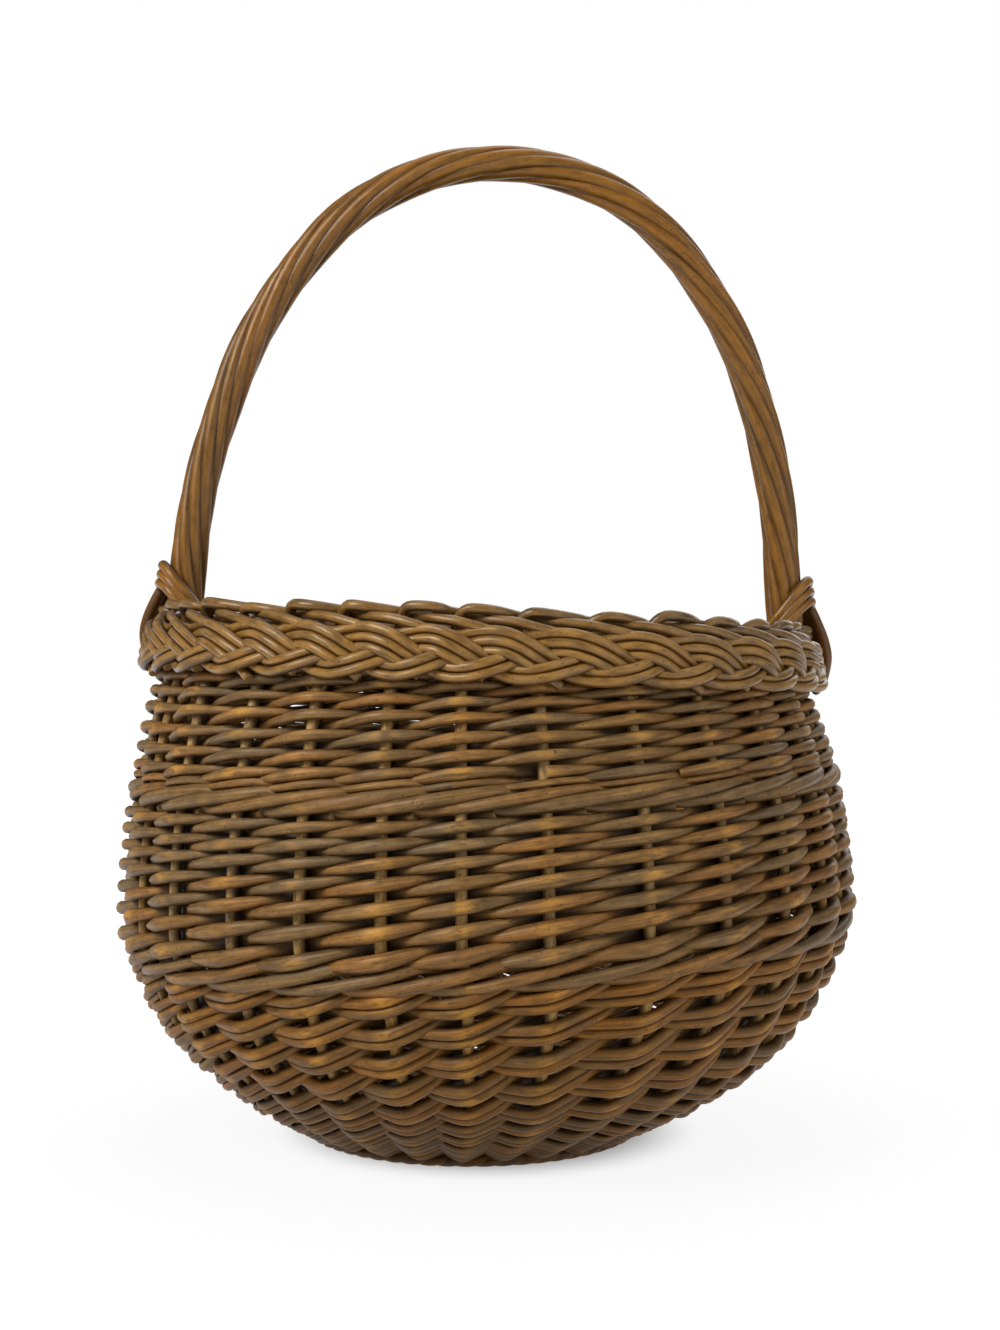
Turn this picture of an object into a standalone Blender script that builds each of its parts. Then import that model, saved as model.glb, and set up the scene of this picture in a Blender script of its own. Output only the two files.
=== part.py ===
"""Round-bellied willow basket with a fixed, roped bow handle.

Metres, +Z up. The origin lies on the ground under the middle of the belly.
Every rod is its own solid: base sticks, side stakes, paired weavers, wales,
the plaited border, the bow of the handle with the rods roped round it.
All pieces are drawn on an even, upright basket, and one hand-made lean
is then given to every point alike.
"""

import math
from collections import namedtuple

import bmesh
import bpy
from mathutils import Vector

# Outline of the wall, measured on its outer face
base_radius = 0.0730
belly_radius = 0.166
belly_height = 0.109
rim_radius = 0.1505
bowl_roundness_share = 1.60
bowl_steps = 6
upper_steps = 3

# Rods
stake_count = 28
first_stake_angle = math.radians(-91.7)
stake_radius = 0.0025
weaver_depth = 0.0038
clearance = 0.00035
bend_slack = 0.00025

# Bands of weaving, each by its own height
lower_band_height = 0.0905
middle_band_height = 0.0565
upper_band_height = 0.0360
wale_height = 0.0090
lower_rounds = 8
middle_rounds = 7
upper_rounds = 5
wale_rounds = 3

# Base
stick_count = 7
lower_stick_count = 4
stick_radius = 0.00275
stick_end_setback = 0.0032
stick_knee_radius = 0.026
base_dome = 0.005
base_weaver_depth = 0.0026
base_weave_inner_radius = 0.0300
base_weave_outer_setback = 0.0087
base_rounds = 4
foot_ring_width = 0.0060
foot_ring_bevel = 0.0015
stake_foot_setback = 0.0067

# Plaited border, by rises above the wall's top and setbacks inside the plait's middle
plait_unit_count = 34
plait_overhang = 0.0006
plait_rise = 0.0150
plait_tilt = math.radians(12.0)
plait_half_width = 0.0084
plait_half_depth = 0.0034
plait_strand_width = 0.0070
plait_strand_depth = 0.0055
plait_strands = 3
plait_rings_per_unit = 2
stake_shoulder_rise = 0.0230
stake_shoulder_setback = 0.0105
knuckle_rise = 0.0323
knuckle_setback = 0.0066
knuckle_drop = 0.0020
knuckle_reach_share = 0.80
short_knuckle_reach_share = 0.55

# Each knuckle's places, as shares of its reach, its way outward, its drop and its tilt
knuckle_shares = (
    (0.125, 0.0, 1.25, 0.75),
    (0.400, 0.5, 0.00, 0.20),
    (1.000, 1.0, 1.00, 0.00),
)

# Handle, by rises above the wall's top and setbacks inside the plait's middle
handle_rise = 0.2420
handle_spring_rise = 0.0210
handle_setback = 0.0133
handle_shoulder_setback = 0.0150
handle_tip_depth = 0.0310
handle_squareness_share = 2.15
handle_core_radius = 0.0049
handle_core_sides = 5
handle_ring_count = 31
bow_sample_count = 400
rope_rod_count = 8
rope_radius = 0.0083
rope_groove_depth = 0.0027
rope_pitch = 0.215
rope_start_rise = 0.0290

# Rods tied round the handle's feet
loop_rod_radius = 0.0024
loop_slack_share = 0.85
loop_rise = 0.0205
loop_drop = 0.0180

# The wrap, as shares of the orbit outward and aside and of the loop's rise
loop_wrap_shares = (
    (-0.75, 0.70, 0.33),
    (-0.15, 1.02, 0.53),
    (0.55, 0.90, 0.80),
    (0.98, 0.30, 1.00),
    (1.00, -0.30, 0.93),
)

# The fall outside the border, as shares of its way outward, of the orbit aside and of the drop
loop_fall_shares = (
    (0.25, 0.70, -0.57),
    (0.88, 0.92, 0.20),
    (1.00, 1.05, 1.00),
)

# Hand-made lean of the whole basket: shifts sideways, and slopes as rise to run
base_shift = 0.0065
bowl_shift = 0.0012
wale_shift = 0.0022
rim_shift = 0.0012
apex_shift = 0.0036
bowl_shift_height_share = 0.385
wale_shift_height_share = 0.80
lower_wale_slope_share = 0.050
upper_wale_slope_share = 0.024
rim_slope_share = -0.035

# Drift of each stake from its even place, as shares of a bay
stake_drift_shares = (
    -0.10, -0.16, -0.02, 0.01, 0.05, 0.07, 0.03, 0.0, -0.05, 0.04,
    0.08, -0.03, -0.07, 0.02, 0.06, -0.04, 0.05, 0.09, -0.02, -0.06,
    0.02, 0.0, 0.03, -0.02, -0.01, 0.09, 0.05, 0.02,
)

bay_angle = 2 * math.pi / stake_count
handle_stake = round(-first_stake_angle / bay_angle)
handle_angle = first_stake_angle + handle_stake * bay_angle
first_stick_angle = first_stake_angle + bay_angle / 2
wall_inset = stake_radius + clearance + weaver_depth

lower_wale_bottom = lower_band_height
lower_wale_top = lower_wale_bottom + wale_height
upper_wale_bottom = lower_wale_top + middle_band_height
upper_wale_top = upper_wale_bottom + wale_height
wall_top_height = upper_wale_top + upper_band_height

stick_end_radius = base_radius - stick_end_setback
stake_foot_radius = base_radius - stake_foot_setback
base_weave_outer_radius = base_radius - base_weave_outer_setback
plait_radius = rim_radius + plait_overhang
plait_height = wall_top_height + plait_rise
knuckle_radius = plait_radius - knuckle_setback
knuckle_height = wall_top_height + knuckle_rise
stake_shoulder_radius = plait_radius - stake_shoulder_setback
stake_shoulder_height = wall_top_height + stake_shoulder_rise
handle_apex_height = wall_top_height + handle_rise
handle_half_width = plait_radius - handle_setback
handle_spring_height = wall_top_height + handle_spring_rise
handle_shoulder_radius = plait_radius - handle_shoulder_setback
rope_start_height = wall_top_height + rope_start_rise
lean_end_height = (handle_spring_height + handle_apex_height) / 2


def smooth_between(value, keys):
    """Value read from (place, amount) keys, eased from each to the next."""
    if value <= keys[0][0]:
        return keys[0][1]
    for (low, low_amount), (high, high_amount) in zip(keys, keys[1:]):
        if value <= high:
            share = (value - low) / (high - low)
            share = share * share * (3 - 2 * share)
            return low_amount + (high_amount - low_amount) * share
    return keys[-1][1]


slope_keys = (
    (0.0, 0.0),
    (lower_wale_bottom, lower_wale_slope_share),
    (upper_wale_bottom, upper_wale_slope_share),
    (plait_height, rim_slope_share),
    (lean_end_height, 0.0),
)
shift_keys = (
    (0.0, -base_shift),
    (belly_height * bowl_shift_height_share, bowl_shift),
    (belly_height * wale_shift_height_share, wale_shift),
    (belly_height, 0.0),
    (plait_height, -rim_shift),
    (handle_apex_height, apex_shift),
)
drift_keys = (
    (wall_inset, 0.0),
    (belly_height / 2, 1.0),
    (plait_height, 1.0),
    (lean_end_height, 0.0),
)


def stake_drift(angle):
    """Turn that the stakes' drift gives to a place between two of them."""
    bays = (angle - first_stake_angle) / bay_angle
    index = math.floor(bays)
    share = bays - index
    share = share * share * (3 - 2 * share)
    here = stake_drift_shares[index % stake_count]
    after = stake_drift_shares[(index + 1) % stake_count]
    return (here + (after - here) * share) * bay_angle


def lean(point):
    """A point of the even basket, moved to its place on the hand-made one."""
    turn = stake_drift(math.atan2(point.y, point.x)) * smooth_between(point.z, drift_keys)
    x = point.x * math.cos(turn) - point.y * math.sin(turn)
    y = point.x * math.sin(turn) + point.y * math.cos(turn)
    slope = smooth_between(point.z, slope_keys)
    shift = smooth_between(point.z, shift_keys)
    return Vector((x + shift, y, point.z + slope * x))


def polar(radius, angle, height):
    return Vector((radius * math.cos(angle), radius * math.sin(angle), height))


def bowl_point(turn):
    """Outer face of the bowl, as radius and height, at a turn of 0 to 90 degrees."""
    swell = math.sin(turn) ** bowl_roundness_share
    radius = base_radius + (belly_radius - base_radius) * swell
    return radius, belly_height * (1 - math.cos(turn))


def upper_point(height):
    """Outer face of the wall above the belly, as radius and height."""
    share = (height - belly_height) / (wall_top_height - belly_height)
    return belly_radius - (belly_radius - rim_radius) * share ** 2, height


def wall_stations():
    """Line of the stakes' centres with its outward normal, from base to border."""
    outer = [bowl_point(math.pi / 2 * step / bowl_steps) for step in range(bowl_steps + 1)]
    rise = wall_top_height - belly_height
    for step in range(1, upper_steps + 1):
        outer.append(upper_point(belly_height + rise * step / upper_steps))
    stations = []
    for index, (radius, height) in enumerate(outer):
        before = outer[max(index - 1, 0)]
        after = outer[min(index + 1, len(outer) - 1)]
        run = after[0] - before[0]
        climb = after[1] - before[1]
        if index == 0:
            climb = 0.0
        length = math.hypot(run, climb)
        normal = (climb / length, -run / length)
        stations.append((
            radius - normal[0] * wall_inset,
            height - normal[1] * wall_inset,
            normal,
        ))
    return stations


stations = wall_stations()


def station_lengths():
    """Way along the stakes' line to each station."""
    lengths = [0.0]
    for low, high in zip(stations, stations[1:]):
        lengths.append(lengths[-1] + math.hypot(high[0] - low[0], high[1] - low[1]))
    return lengths


wall_lengths = station_lengths()


def wall_point(angle, along, out):
    """Point at a way along the wall, moved outward from the stakes' line."""
    along = min(max(along, 0.0), wall_lengths[-1])
    index = 0
    while index < len(wall_lengths) - 2 and along > wall_lengths[index + 1]:
        index += 1
    span = wall_lengths[index + 1] - wall_lengths[index]
    share = (along - wall_lengths[index]) / span
    low = stations[index]
    high = stations[index + 1]
    normal_r = low[2][0] + (high[2][0] - low[2][0]) * share
    normal_z = low[2][1] + (high[2][1] - low[2][1]) * share
    size = math.hypot(normal_r, normal_z)
    radius = low[0] + (high[0] - low[0]) * share + out * normal_r / size
    height = low[1] + (high[1] - low[1]) * share + out * normal_z / size
    return polar(radius, angle, height)


def way_to_height(height):
    """Way along the stakes' line at which it reaches a height."""
    for index, (low, high) in enumerate(zip(stations, stations[1:])):
        if height <= high[1]:
            share = (height - low[1]) / (high[1] - low[1])
            return wall_lengths[index] + share * (wall_lengths[index + 1] - wall_lengths[index])
    return wall_lengths[-1]


def base_point(angle, radius, out):
    """Point of the base, moved downward from the middle of the sticks."""
    dome = base_dome * (1 - (radius / base_radius) ** 2)
    return polar(radius, angle, wall_inset + dome - out)


Spokes = namedtuple("Spokes", "point count first_angle radius")
wall_spokes = Spokes(wall_point, stake_count, first_stake_angle, stake_radius)
base_spokes = Spokes(base_point, 2 * stick_count, first_stick_angle, stick_radius)


def material(name, colour, roughness):
    made = bpy.data.materials.new(name)
    made.use_nodes = True
    shader = made.node_tree.nodes["Principled BSDF"]
    shader.inputs["Base Color"].default_value = (*colour, 1.0)
    shader.inputs["Roughness"].default_value = roughness
    shader.inputs["Metallic"].default_value = 0.0
    made.diffuse_color = (*colour, 1.0)
    return made


def make_materials():
    return {
        "stakes": material("stake_willow", (0.30, 0.20, 0.09), 0.55),
        "weave": material("weave_willow", (0.22, 0.13, 0.055), 0.55),
        "bowl": material("bowl_willow", (0.17, 0.085, 0.03), 0.55),
        "border": material("border_willow", (0.27, 0.15, 0.055), 0.5),
        "handle": material("handle_willow", (0.26, 0.13, 0.035), 0.5),
    }


def add_rod(name, rings, finish, closed=False):
    """Closed solid through a row of rings that have as many points each."""
    body = bmesh.new()
    loops = []
    for ring in rings:
        loops.append([body.verts.new(lean(point)) for point in ring])
    pairs = list(zip(loops, loops[1:]))
    if closed:
        pairs.append((loops[-1], loops[0]))
    for first, second in pairs:
        for side in range(len(first)):
            after = (side + 1) % len(first)
            body.faces.new((first[side], first[after], second[after], second[side]))
    if not closed:
        body.faces.new(tuple(reversed(loops[0])))
        body.faces.new(tuple(loops[-1]))
    bmesh.ops.triangulate(body, faces=body.faces[:])
    bmesh.ops.recalc_face_normals(body, faces=body.faces[:])
    mesh = bpy.data.meshes.new(name)
    body.to_mesh(mesh)
    body.free()
    mesh.materials.append(finish)
    rod = bpy.data.objects.new(name, mesh)
    bpy.context.scene.collection.objects.link(rod)
    return rod


def weaving_offset(radius, spokes, gap):
    """Offset at a spoke that keeps the slanting rod beside it a full gap away."""
    bay = 2 * math.pi * radius / spokes
    return gap / math.sqrt(1 - (2 * gap / bay) ** 2)


def woven_rings(spokes, first_spoke, rounds, start, pitch, width, depth, outside):
    """Three-sided rings of one weaver, one ring at each spoke it passes."""
    gap = spokes.radius + clearance + bend_slack + depth / 2
    rings = []
    for step in range(rounds * spokes.count + 1):
        spoke = first_spoke + step
        angle = spokes.first_angle + spoke * 2 * math.pi / spokes.count
        along = start + pitch * step / spokes.count
        here = spokes.point(angle, along, 0.0)
        out = weaving_offset(math.hypot(here.x, here.y), spokes.count, gap)
        if not outside(spoke):
            out = -out
        rings.append((
            spokes.point(angle, along, out + depth / 2),
            spokes.point(angle, along + width / 2, out - depth / 2),
            spokes.point(angle, along - width / 2, out - depth / 2),
        ))
    return rings


def add_pair(name, spokes, start, end, rounds, depth, finish):
    """Two weavers that start on opposite sides, each in front where the other is behind."""
    pitch = (end - start) / (rounds + 1 / 2)
    width = pitch / 2 - clearance
    for letter, first_spoke, parity in (("a", 0, 0), ("b", spokes.count // 2, 1)):
        rings = woven_rings(
            spokes, first_spoke, rounds, start + pitch / 4, pitch, width, depth,
            lambda spoke, parity=parity: spoke % 2 == parity,
        )
        add_rod(f"{name}_{letter}", rings, finish)


def add_wale(name, start, end, finish):
    """One unbroken rod in three rounds, in front of two stakes and behind the third."""
    pitch = (end - start) / (wale_rounds + 1)
    rings = woven_rings(
        wall_spokes, 0, wale_rounds, start + pitch / 2, pitch, pitch - clearance, weaver_depth,
        lambda spoke: spoke % 3 != 2,
    )
    add_rod(name, rings, finish)


def rod_section(centre, across, side, radius):
    """Three-sided section of a straight rod, with its ridge on the first side given."""
    return (
        centre + across * radius,
        centre - across * radius + side * radius,
        centre - across * radius - side * radius,
    )


def stake_rings(angle, top_way):
    """Rings of a stake from its foot in the base up along the wall."""
    side = Vector((-math.sin(angle), math.cos(angle), 0.0))
    rings = []
    foot = base_point(angle, stake_foot_radius, 0.0)
    rings.append(rod_section(foot, Vector((0.0, 0.0, -1.0)), side, stake_radius))
    for station, way in zip(stations, wall_lengths):
        if way > top_way:
            break
        out = polar(station[2][0], angle, station[2][1])
        rings.append(rod_section(wall_point(angle, way, 0.0), out, side, stake_radius))
    return rings


def knuckle_rings(angle, reach_share):
    """Rings of a stake's top, which bends over to the right on top of the border."""
    rings = []
    shoulder = polar(stake_shoulder_radius, angle, stake_shoulder_height)
    side = Vector((-math.sin(angle), math.cos(angle), 0.0))
    rings.append(rod_section(shoulder, polar(1, angle, 0.0), side, stake_radius))
    for along_share, out_share, drop_share, tilt_share in knuckle_shares:
        place_angle = angle + along_share * reach_share * bay_angle
        radius = stake_shoulder_radius + (knuckle_radius - stake_shoulder_radius) * out_share
        centre = polar(radius, place_angle, knuckle_height - knuckle_drop * drop_share)
        along = Vector((-math.sin(place_angle), math.cos(place_angle), 0.0))
        up = (Vector((0.0, 0.0, 1.0)) * (1 - tilt_share) - along * tilt_share).normalized()
        rings.append(rod_section(centre, polar(1, place_angle, 0.0), -up, stake_radius))
    return rings


def add_stakes(finishes):
    """Side stakes, two beside each stick end. The two at the handle stop at the upper wale."""
    for index in range(stake_count):
        angle = first_stake_angle + index * bay_angle
        past_handle = (index - handle_stake) % (stake_count // 2)
        before_handle = stake_count // 2 - 1
        reach_share = short_knuckle_reach_share if past_handle == before_handle else knuckle_reach_share
        if past_handle == 0:
            rings = stake_rings(angle, way_to_height(upper_wale_bottom))
        else:
            rings = stake_rings(angle, wall_lengths[-1]) + knuckle_rings(angle, reach_share)
        add_rod(f"stake_{index + 1:02d}", rings, finishes["stakes"])


def add_base_sticks(finishes):
    """Sticks crossed at the middle of the base and fanned out to even spokes."""
    fan_angle = 2 * math.pi / (2 * stick_count)
    spacing = 2 * (stick_radius + clearance)
    number = 0
    groups = (
        (lower_stick_count, 1, first_stick_angle + fan_angle * (lower_stick_count - 1) / 2),
        (stick_count - lower_stick_count, -1, first_stick_angle + fan_angle * (
            lower_stick_count + (stick_count - lower_stick_count - 1) / 2)),
    )
    for count, level, middle_angle in groups:
        ahead = polar(1, middle_angle, 0.0)
        beside = polar(1, middle_angle + math.pi / 2, 0.0)
        other_count = stick_count - count
        reach = spacing * (other_count - 1) / 2 + spacing
        for place in range(count):
            number += 1
            step = place - (count - 1) / 2
            centres = []
            for turn in (0, 1):
                sign = 1 - 2 * turn
                angle = middle_angle + sign * step * fan_angle + turn * math.pi
                inner = ahead * reach * sign + beside * step * spacing
                inner.z = base_point(0.0, reach, level * spacing / 2).z
                run = [
                    base_point(angle, stick_end_radius, 0.0),
                    base_point(angle, stick_knee_radius, 0.0),
                    inner,
                ]
                centres += run if turn == 0 else run[::-1]
            rings = []
            for index, centre in enumerate(centres):
                before = centres[max(index - 1, 0)]
                after = centres[min(index + 1, len(centres) - 1)]
                along = (after - before).normalized()
                side = along.cross(Vector((0.0, 0.0, 1.0))).normalized()
                up = side.cross(along)
                rings.append((
                    centre + side * stick_radius,
                    centre + up * stick_radius,
                    centre - side * stick_radius,
                    centre - up * stick_radius,
                ))
            add_rod(f"base_stick_{number}", rings, finishes["bowl"])


def add_foot_ring(finishes):
    """Ring under the bends of the stakes, flat where the basket stands."""
    top = wall_inset - stake_radius - clearance
    rings = []
    for index in range(stake_count):
        angle = first_stake_angle + index * bay_angle
        inner = base_radius - foot_ring_width / 2
        outer = base_radius + foot_ring_width / 2
        rings.append((
            polar(inner, angle, 0.0),
            polar(outer - foot_ring_bevel, angle, 0.0),
            polar(outer, angle, foot_ring_bevel),
            polar(outer - foot_ring_bevel, angle, top),
            polar(inner, angle, top),
        ))
    add_rod("foot_ring", rings, finishes["bowl"], closed=True)


def add_wall(finishes):
    """Bands of paired weaving between the wales."""
    lower_start = foot_ring_width / 2 + clearance
    lower_wale = way_to_height(lower_wale_bottom)
    lower_top = way_to_height(lower_wale_top)
    upper_wale = way_to_height(upper_wale_bottom)
    upper_top = way_to_height(upper_wale_top)
    add_pair("lower_weaver", wall_spokes, lower_start, lower_wale - clearance,
             lower_rounds, weaver_depth, finishes["bowl"])
    add_wale("lower_wale", lower_wale, lower_top, finishes["weave"])
    add_pair("middle_weaver", wall_spokes, lower_top + clearance, upper_wale - clearance,
             middle_rounds, weaver_depth, finishes["weave"])
    add_wale("upper_wale", upper_wale, upper_top, finishes["weave"])
    add_pair("upper_weaver", wall_spokes, upper_top + clearance, wall_lengths[-1],
             upper_rounds, weaver_depth, finishes["weave"])


def add_base_weave(finishes):
    add_pair("base_weaver", base_spokes, base_weave_inner_radius, base_weave_outer_radius,
             base_rounds, base_weaver_depth, finishes["bowl"])


def add_border(finishes):
    """Three-strand plait as one closed rod that runs round three times."""
    upward = (-math.sin(plait_tilt), math.cos(plait_tilt))
    outward = (math.cos(plait_tilt), math.sin(plait_tilt))
    rings = []
    ring_count = plait_strands * plait_unit_count * plait_rings_per_unit
    first_turn = math.pi / (2 * plait_strands)
    for index in range(ring_count):
        units_passed = index / plait_rings_per_unit
        angle = first_stake_angle + units_passed * 2 * math.pi / plait_unit_count
        turn = first_turn + 2 * math.pi * units_passed / plait_strands
        rise = plait_half_width * math.sin(turn)
        out = -plait_half_depth * math.sin(2 * turn)
        ring = []
        corners = (
            (rise, out + plait_strand_depth / 2),
            (rise + plait_strand_width / 2, out),
            (rise, out - plait_strand_depth / 2),
            (rise - plait_strand_width / 2, out),
        )
        for along_up, along_out in corners:
            radius = plait_radius + upward[0] * along_up + outward[0] * along_out
            height = plait_height + upward[1] * along_up + outward[1] * along_out
            ring.append(polar(radius, angle, height))
        rings.append(ring)
    add_rod("border_plait", rings, finishes["border"], closed=True)


def bow_point(turn):
    """Centre of the bow, as distance along its plane and height, at 0 to 180 degrees."""
    power = 2 / handle_squareness_share
    reach = handle_half_width * math.copysign(abs(math.cos(turn)) ** power, math.cos(turn))
    rise = handle_apex_height - handle_spring_height
    return Vector((reach, handle_spring_height + rise * math.sin(turn) ** power))


def bow_reach(height):
    """Distance of the bow's centre from the middle of its plane at a height."""
    share = (height - handle_spring_height) / (handle_apex_height - handle_spring_height)
    power = handle_squareness_share
    return handle_half_width * (1 - max(share, 0.0) ** power) ** (1 / power)


def bow_stations():
    """Even stations along the roped part of the bow, as centre and way along it."""
    fine = [bow_point(math.pi * step / bow_sample_count) for step in range(bow_sample_count + 1)]
    fine = [point for point in fine if point.y >= rope_start_height]
    ways = [0.0]
    for low, high in zip(fine, fine[1:]):
        ways.append(ways[-1] + (high - low).length)
    found = []
    for ring in range(handle_ring_count):
        way = ways[-1] * ring / (handle_ring_count - 1)
        index = 0
        while index < len(ways) - 2 and way > ways[index + 1]:
            index += 1
        share = (way - ways[index]) / (ways[index + 1] - ways[index])
        found.append((fine[index].lerp(fine[index + 1], share), way))
    return found


def bow_frames():
    """Centre, way and the two directions across the bow at each roped station."""
    places = bow_stations()
    frames = []
    plane = Vector((math.cos(handle_angle), math.sin(handle_angle), 0.0))
    across = Vector((-math.sin(handle_angle), math.cos(handle_angle), 0.0))
    for index, (centre, way) in enumerate(places):
        before = places[max(index - 1, 0)][0]
        after = places[min(index + 1, len(places) - 1)][0]
        run = (after - before).normalized()
        outward = plane * run.y - Vector((0.0, 0.0, 1.0)) * run.x
        position = plane * centre.x + Vector((0.0, 0.0, centre.y))
        frames.append((position, way, outward, across))
    return frames


def leg_places():
    """Centre radius, height and rod radius of a leg, from its tip up to the roping."""
    tip = wall_point(0.0, way_to_height(wall_top_height - handle_tip_depth), 0.0)
    middle = wall_point(0.0, way_to_height(wall_top_height - handle_tip_depth / 2), 0.0)
    wall_top = wall_point(0.0, wall_lengths[-1], 0.0)
    return (
        (tip.x, tip.z, stake_radius),
        (middle.x, middle.z, stake_radius),
        (wall_top.x, wall_top.z, stake_radius),
        (handle_shoulder_radius, handle_spring_height, handle_core_radius),
    )


def add_handle(finishes):
    """Bow with slender ends in the stakes' channels, and the rods roped round it."""
    frames = bow_frames()
    plane = Vector((math.cos(handle_angle), math.sin(handle_angle), 0.0))
    across = Vector((-math.sin(handle_angle), math.cos(handle_angle), 0.0))

    def section(centre, outward, radius):
        ring = []
        for side in range(handle_core_sides):
            turn = 2 * math.pi * side / handle_core_sides
            ring.append(centre + (outward * math.cos(turn) + across * math.sin(turn)) * radius)
        return ring

    right_leg = []
    left_leg = []
    for radius, height, thickness in leg_places():
        upright = Vector((0.0, 0.0, height))
        right_leg.append(section(plane * radius + upright, plane, thickness))
        left_leg.append(section(upright - plane * radius, -plane, thickness))
    middle = [section(position, outward, handle_core_radius)
              for position, way, outward, _ in frames]
    add_rod("handle_bow", right_leg + middle + left_leg[::-1], finishes["handle"])

    groove_radius = rope_radius - rope_groove_depth
    half_width = groove_radius * math.sin(math.pi / rope_rod_count) - clearance / 2
    for rod in range(rope_rod_count):
        rings = []
        for position, way, outward, across_bow in frames:
            turn = 2 * math.pi * (rod / rope_rod_count - way / rope_pitch)
            spoke = outward * math.cos(turn) + across_bow * math.sin(turn)
            beside = across_bow * math.cos(turn) - outward * math.sin(turn)
            rings.append((
                position + spoke * rope_radius,
                position + spoke * groove_radius + beside * half_width,
                position + spoke * groove_radius - beside * half_width,
            ))
        add_rod(f"handle_rod_{rod + 1}", rings, finishes["handle"])


def curve_through(points, steps):
    """Smooth run of points through the ones given."""
    run = []
    for index in range(len(points) - 1):
        before = points[max(index - 1, 0)]
        low = points[index]
        high = points[index + 1]
        after = points[min(index + 2, len(points) - 1)]
        for step in range(steps):
            share = step / steps
            run.append(0.5 * (
                2 * low + (high - before) * share
                + (2 * before - 5 * low + 4 * high - after) * share ** 2
                + (3 * low - before - 3 * high + after) * share ** 3
            ))
    run.append(points[-1])
    return run


def add_foot_loop(name, angle, front, finishes):
    """Rod tied round the foot of a leg, then over the border and down outside it."""
    orbit = rope_radius + clearance + loop_rod_radius * loop_slack_share
    leg = bow_reach(rope_start_height + loop_rise / 2)
    face = plait_radius + plait_half_depth + plait_strand_depth / 2 + clearance + loop_rod_radius
    way_out = face - leg - orbit
    places = [(leg + out * orbit, front * aside * orbit, rope_start_height + rise * loop_rise)
              for out, aside, rise in loop_wrap_shares]
    places += [(leg + orbit + out * way_out, -front * aside * orbit, rope_start_height - drop * loop_drop)
               for out, aside, drop in loop_fall_shares]
    plane = Vector((math.cos(angle), math.sin(angle), 0.0))
    beside = Vector((-math.sin(angle), math.cos(angle), 0.0))
    points = [plane * radius + beside * aside + Vector((0.0, 0.0, height))
              for radius, aside, height in places]
    centres = curve_through(points, 2)
    rings = []
    normal = plane
    for index, centre in enumerate(centres):
        before = centres[max(index - 1, 0)]
        after = centres[min(index + 1, len(centres) - 1)]
        along = (after - before).normalized()
        normal = (normal - along * normal.dot(along)).normalized()
        side = along.cross(normal)
        rings.append((
            centre + normal * loop_rod_radius,
            centre + side * loop_rod_radius,
            centre - normal * loop_rod_radius,
            centre - side * loop_rod_radius,
        ))
    add_rod(name, rings, finishes["handle"])


def build():
    for old in list(bpy.data.objects):
        bpy.data.objects.remove(old, do_unlink=True)
    finishes = make_materials()
    add_base_sticks(finishes)
    add_base_weave(finishes)
    add_foot_ring(finishes)
    add_stakes(finishes)
    add_wall(finishes)
    add_border(finishes)
    add_handle(finishes)
    add_foot_loop("right_foot_loop", handle_angle, -1, finishes)
    add_foot_loop("left_foot_loop", handle_angle + math.pi, 1, finishes)


build()
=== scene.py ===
"""Looks of a round-bellied willow basket with a fixed, roped bow handle.

Every rod follows the path that it takes in the weave. It has its real thickness,
apart from a pinch between the stakes. Lengths are in metres. The rods are laid on an
even, upright basket, and the lean of the hand-made one is then given to every path.
"""

import math

import bpy
import numpy as np
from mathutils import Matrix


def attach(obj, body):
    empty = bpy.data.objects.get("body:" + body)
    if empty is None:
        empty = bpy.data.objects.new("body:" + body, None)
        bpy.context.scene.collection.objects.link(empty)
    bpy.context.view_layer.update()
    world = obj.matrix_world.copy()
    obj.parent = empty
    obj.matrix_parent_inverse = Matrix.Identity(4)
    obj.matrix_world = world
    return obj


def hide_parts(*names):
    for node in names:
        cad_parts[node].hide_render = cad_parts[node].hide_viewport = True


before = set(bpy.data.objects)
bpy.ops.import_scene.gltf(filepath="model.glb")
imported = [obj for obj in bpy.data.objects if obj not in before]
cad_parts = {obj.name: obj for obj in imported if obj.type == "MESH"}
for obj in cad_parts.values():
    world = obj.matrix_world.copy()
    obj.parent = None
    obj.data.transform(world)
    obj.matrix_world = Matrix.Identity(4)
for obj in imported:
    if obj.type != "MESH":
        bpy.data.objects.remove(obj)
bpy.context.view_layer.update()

rng = np.random.default_rng(28)

# Outline of the wall, measured on its outer face, as in the solids
base_radius = 0.0730
belly_radius = 0.166
belly_height = 0.109
rim_radius = 0.1505
wall_top_height = 0.201
bowl_roundness_share = 1.60
wall_inset = 0.00665

# Stakes
stake_count = 28
first_stake_angle = math.radians(-91.7)
stake_radius = 0.0025
stake_foot_radius = 0.0663
bay_angle = 2 * math.pi / stake_count

# Plaited border and handle, as in the solids
plait_unit_count = 34
plait_radius = 0.1511
plait_height = 0.2160
plait_tilt = math.radians(12.0)
handle_apex_height = 0.443
handle_half_width = 0.1378
handle_spring_height = 0.2220
handle_squareness_share = 2.15
handle_angle = math.radians(-1.7)
rope_rod_count = 8
rope_start_height = 0.2300

# Base, as in the solids
stick_count = 7
lower_stick_count = 4
stick_radius = 0.00275
base_dome = 0.005

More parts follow.
